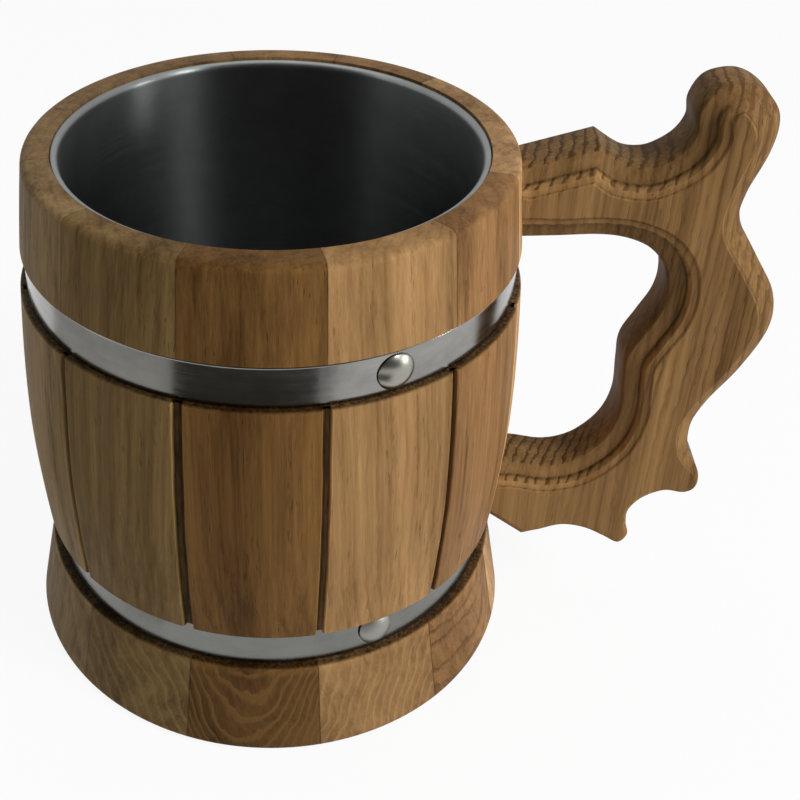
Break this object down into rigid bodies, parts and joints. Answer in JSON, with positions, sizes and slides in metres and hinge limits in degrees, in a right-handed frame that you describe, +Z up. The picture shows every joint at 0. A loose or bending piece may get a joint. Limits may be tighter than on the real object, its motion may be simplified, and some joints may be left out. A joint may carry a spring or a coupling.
{
  "type": "wooden tankard",
  "caption": "Coopered oak beer tankard with a steel cup inside, two riveted steel hoops, a flared foot and a scalloped carved handle with a thumb knob.",
  "frame": {"origin": "centre of the underside, on the barrel's axis, at table level", "axes": "+Z up along the barrel's axis, +X from the axis out through the handle"},
  "size_m": [0.1912, 0.135, 0.1585],
  "materials": {
    "oak_barrel": "oiled, fine sanded",
    "oak_handle": "oiled, carved",
    "cup_steel": "brushed",
    "hoop_steel": "polished strip",
    "rivet_steel": "polished",
    "screw_steel": "plain"
  },
  "bodies": {
    "root": {"stave_01": "oak_barrel", "stave_02": "oak_barrel", "stave_03": "oak_barrel", "stave_04": "oak_barrel", "stave_05": "oak_barrel", "stave_06": "oak_barrel", "stave_07": "oak_barrel", "stave_08": "oak_barrel", "stave_09": "oak_barrel", "stave_10": "oak_barrel", "stave_11": "oak_barrel", "stave_12": "oak_barrel", "steel_cup": "cup_steel", "bottom_disc": "oak_barrel", "hoop_upper": "hoop_steel", "hoop_lower": "hoop_steel", "rivet_upper": "rivet_steel", "rivet_lower": "rivet_steel", "handle": "oak_handle", "handle_screw_upper": "screw_steel", "handle_screw_lower": "screw_steel"}
  },
  "joints": []
}
